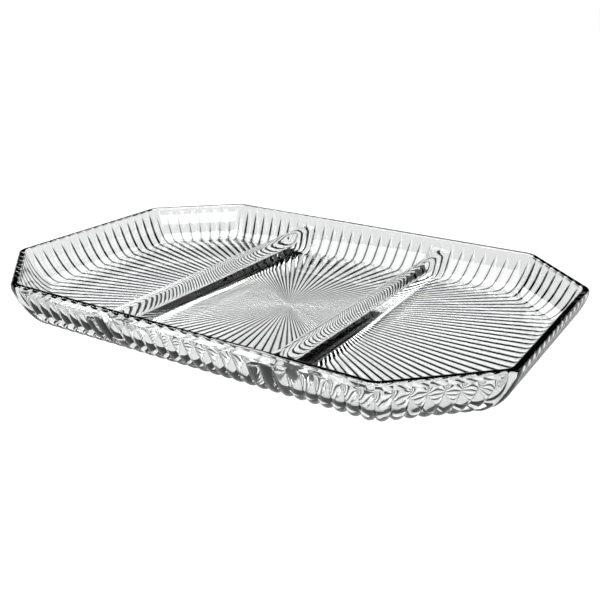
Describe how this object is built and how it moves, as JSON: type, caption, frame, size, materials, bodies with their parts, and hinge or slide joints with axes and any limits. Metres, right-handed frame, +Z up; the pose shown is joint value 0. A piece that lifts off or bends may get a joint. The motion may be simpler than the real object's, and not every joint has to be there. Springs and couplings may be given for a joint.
{
  "type": "relish tray",
  "caption": "Low eight-sided clear glass serving tray in sections, with upright dividers, a ribbed outside and a sunburst of rays under the floor.",
  "frame": {"origin": "on the table, under the middle of the tray", "axes": "+X along the long sides, +Y across the tray, +Z up from the table to the rim"},
  "size_m": [0.3, 0.206, 0.026],
  "materials": {
    "clear_glass": "polished clear pressed glass"
  },
  "bodies": {
    "root": {"floor_panel": "clear_glass", "front_wall": "clear_glass", "back_wall": "clear_glass", "left_wall": "clear_glass", "right_wall": "clear_glass", "front_left_wall": "clear_glass", "front_right_wall": "clear_glass", "back_left_wall": "clear_glass", "back_right_wall": "clear_glass", "rim_band": "clear_glass", "left_divider": "clear_glass", "right_divider": "clear_glass"}
  },
  "joints": []
}
